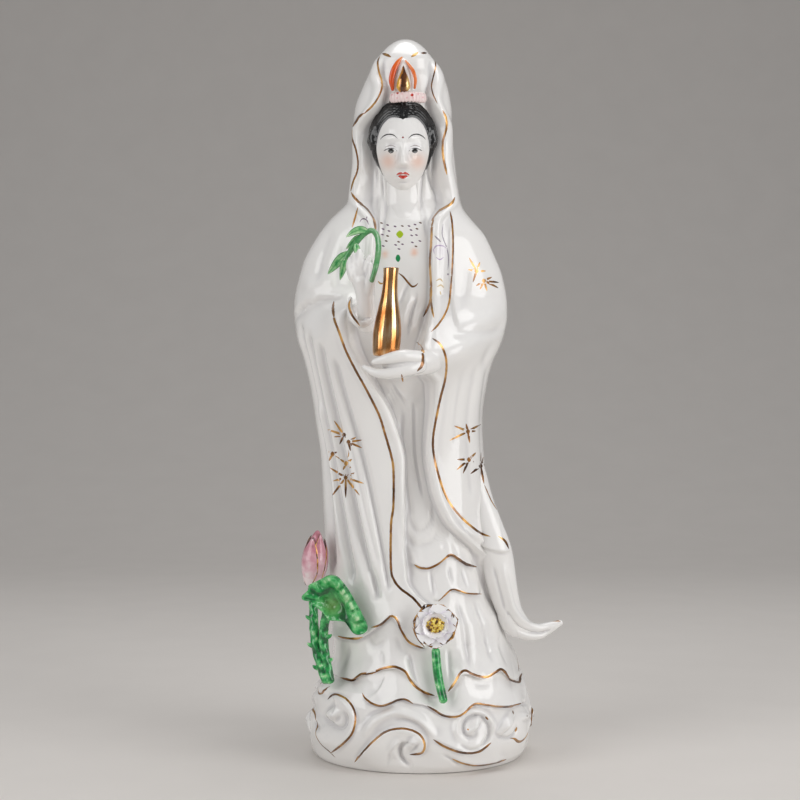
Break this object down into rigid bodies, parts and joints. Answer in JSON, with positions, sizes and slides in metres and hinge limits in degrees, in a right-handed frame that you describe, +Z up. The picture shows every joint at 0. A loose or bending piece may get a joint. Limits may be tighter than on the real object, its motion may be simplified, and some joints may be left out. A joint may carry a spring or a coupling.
{
  "type": "guanyin figure",
  "caption": "Standing robed and hooded figure in glazed porcelain on a base of waves, holding a small gilded vase and a willow sprig, with a lotus bud, leaf and flower at its feet.",
  "frame": {"origin": "middle of the base's underside", "axes": "+Z up the figure, -Y towards where the figure faces, +X to the figure's left-hand side"},
  "size_m": [0.1807, 0.1589, 0.48],
  "materials": {
    "white_glazed_porcelain": "clear glossy glaze over white porcelain, with gold lines and overglaze painting",
    "gold_lustre": "bright burnt-on gold lustre, mirror-like",
    "willow_green_enamel": "glossy green overglaze enamel, darker in the veins",
    "pink_enamel": "glossy pink overglaze enamel, darker at the tip, with gold lines",
    "leaf_green_enamel": "glossy mottled green overglaze enamel",
    "lilac_white_enamel": "white glaze washed with lilac, gilded petal rims and yellow stamens"
  },
  "bodies": {
    "root": {"figure_on_wave_base": "white_glazed_porcelain", "vase": "gold_lustre", "willow_sprig": "willow_green_enamel", "lotus_bud": "pink_enamel", "lotus_leaf": "leaf_green_enamel", "lotus_stems": "leaf_green_enamel", "lotus_flower": "lilac_white_enamel", "lotus_flower_stem": "leaf_green_enamel"}
  },
  "joints": []
}
